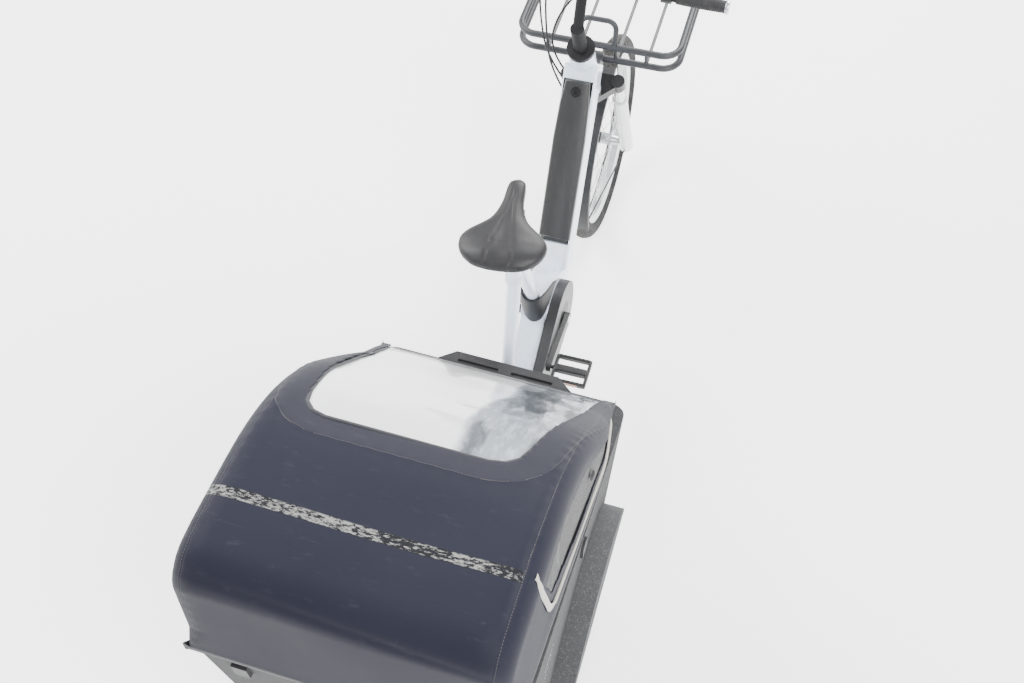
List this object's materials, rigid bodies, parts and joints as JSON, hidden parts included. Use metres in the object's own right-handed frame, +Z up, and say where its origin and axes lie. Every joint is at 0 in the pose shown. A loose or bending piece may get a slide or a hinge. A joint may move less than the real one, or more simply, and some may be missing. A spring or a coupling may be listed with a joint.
{
  "type": "cargo tricycle",
  "caption": "Tilting electric cargo tricycle with a foam passenger tub and fabric hood behind the rider, a front rack, a swing-out battery and an enclosed chain.",
  "frame": {"origin": "middle of the whole box, on the ground", "axes": "+Y the direction of travel, +X the rider's right, +Z up"},
  "size_m": [0.7356, 2.2238, 1.2559],
  "materials": {
    "frame_paint": "glossy paint",
    "black_metal": "satin black",
    "fork_paint": "satin paint",
    "steel": "brushed",
    "alloy": "satin",
    "tyre_rubber": "matt tread",
    "grip_rubber": "matt",
    "black_plastic": "matt",
    "battery_plastic": "satin",
    "tub_foam": "speckled moulded foam",
    "hood_cloth": "coated weave",
    "mesh_cloth": "open mesh",
    "film": "clear film",
    "cushion_cloth": "woven",
    "saddle_cover": "matt cover",
    "red_lens": "clear lens",
    "grey_reflector": "reflector",
    "lamp": "gloss",
    "cable": "smooth sleeve",
    "cover_foam": "speckled"
  },
  "bodies": {
    "rear_carriage": {"cargo_tub": "tub_foam", "front_plate": "black_metal", "cover_right": "cover_foam", "cover_left": "cover_foam", "hood_fabric": "hood_cloth", "hood_windscreen": "film", "side_windows": "mesh_cloth", "hood_bows": "alloy", "bench_cushion": "cushion_cloth", "backrest_cushion": "cushion_cloth", "tilt_housing": "frame_paint", "rear_axle": "black_metal", "rear_frame": "frame_paint", "tail_lights": "red_lens", "side_reflectors": "grey_reflector", "hood_clips": "black_plastic", "tub_bolts": "steel"},
    "tilt_frame": {"head_tube": "frame_paint", "headset": "black_metal", "down_tube": "frame_paint", "motor_unit": "frame_paint", "motor_cover": "black_plastic", "seat_tube": "frame_paint", "pivot_beam": "frame_paint", "rear_strut": "frame_paint", "seat_clamp": "black_metal", "chain_case": "black_plastic", "chain": "steel", "front_rack": "black_metal", "headlight": "lamp", "control_cables": "cable"},
    "battery_pack": {"battery": "battery_plastic", "battery_lock": "steel"},
    "seat": {"seatpost": "black_metal", "saddle_rails": "steel", "saddle": "saddle_cover"},
    "steering": {"fork_crown": "black_metal", "stem": "black_metal", "handlebar": "black_metal", "grips": "grip_rubber", "lever_clamps": "black_plastic", "display": "black_plastic"},
    "left_lever": {"brake_lever_left": "black_metal"},
    "right_lever": {"brake_lever_right": "black_metal"},
    "fork_slider": {"fork_lowers": "fork_paint", "front_fender": "black_plastic", "brake_caliper": "black_metal"},
    "front_wheel": {"front_tyre": "tyre_rubber", "front_rim": "alloy", "front_hub": "black_metal", "front_spokes": "steel"},
    "crank": {"crank_arms": "black_metal", "chainring": "steel"},
    "left_pedal": {"pedal_left": "black_plastic"},
    "right_pedal": {"pedal_right": "black_plastic"},
    "rear_drive": {"drive_hub": "steel"},
    "left_wheel": {"rear_tyre_left": "tyre_rubber", "rear_wheel_left": "alloy"},
    "right_wheel": {"rear_tyre_right": "tyre_rubber", "rear_wheel_right": "alloy"}
  },
  "joints": [
    {"name": "tilt", "type": "hinge", "parent": "rear_carriage", "child": "tilt_frame", "pos_m": [0.01777, -0.33, 0.24], "axis": [0, 1, 0], "range_deg": [-17.3, 22.7]},
    {"name": "battery_swing", "type": "hinge", "parent": "tilt_frame", "child": "battery_pack", "pos_m": [0.00728, 0.29413, 0.46253], "axis": [0.9989, 0, 0.0471], "range_deg": [0, 12]},
    {"name": "seat_height", "type": "slide", "parent": "tilt_frame", "child": "seat", "axis": [-0.0447, -0.3168, 0.9474], "range_m": [-0.03, 0.1]},
    {"name": "steer", "type": "hinge", "parent": "tilt_frame", "child": "steering", "pos_m": [0.0154, 0.77041, 0.29026], "axis": [-0.0443, -0.342, 0.9386], "range_deg": [-50, 50], "deforming": ["control_cables"]},
    {"name": "left_brake_pull", "type": "hinge", "parent": "steering", "child": "left_lever", "pos_m": [-0.22204, 0.61137, 1.07936], "axis": [-0.0471, 0, 0.9989], "range_deg": [0, 12], "stiffness_Nm_per_rad": 2, "springref_deg": -11.46},
    {"name": "right_brake_pull", "type": "hinge", "parent": "steering", "child": "right_lever", "pos_m": [0.17752, 0.61137, 1.0982], "axis": [0.0471, 0, -0.9989], "range_deg": [0, 12], "stiffness_Nm_per_rad": 2, "springref_deg": -11.46},
    {"name": "fork_travel", "type": "slide", "parent": "steering", "child": "fork_slider", "axis": [-0.0443, -0.342, 0.9386], "range_m": [0, 0.04], "stiffness_N_per_m": 12000, "springref_m": -0.03},
    {"name": "front_wheel_spin", "type": "hinge", "parent": "fork_slider", "child": "front_wheel", "pos_m": [0.01476, 0.808, 0.30393], "axis": [0.9989, 0, 0.0471], "continuous": true},
    {"name": "crank_turn", "type": "hinge", "parent": "tilt_frame", "child": "crank", "pos_m": [0.01372, 0.14, 0.32591], "axis": [0.9989, 0, 0.0471], "continuous": true},
    {"name": "rear_drive_turn", "type": "hinge", "parent": "tilt_frame", "child": "rear_drive", "pos_m": [0.01749, -0.168, 0.24599], "axis": [0.9989, 0, 0.0471], "continuous": true},
    {"name": "left_pedal_spin", "type": "hinge", "parent": "crank", "child": "left_pedal", "pos_m": [0.01483, 0.30835, 0.30227], "axis": [0.9989, 0, 0.0471], "continuous": true},
    {"name": "right_pedal_spin", "type": "hinge", "parent": "crank", "child": "right_pedal", "pos_m": [0.0126, -0.02835, 0.34954], "axis": [0.9989, 0, 0.0471], "continuous": true},
    {"name": "left_wheel_spin", "type": "hinge", "parent": "rear_carriage", "child": "left_wheel", "pos_m": [-0.29123, -0.61, 0.253], "axis": [1, 0, 0], "continuous": true},
    {"name": "right_wheel_spin", "type": "hinge", "parent": "rear_carriage", "child": "right_wheel", "pos_m": [0.32677, -0.61, 0.253], "axis": [1, 0, 0], "continuous": true}
  ],
  "couplings": [
    {"joint": "rear_drive_turn", "follows": "crank_turn", "ratio": 2}
  ]
}
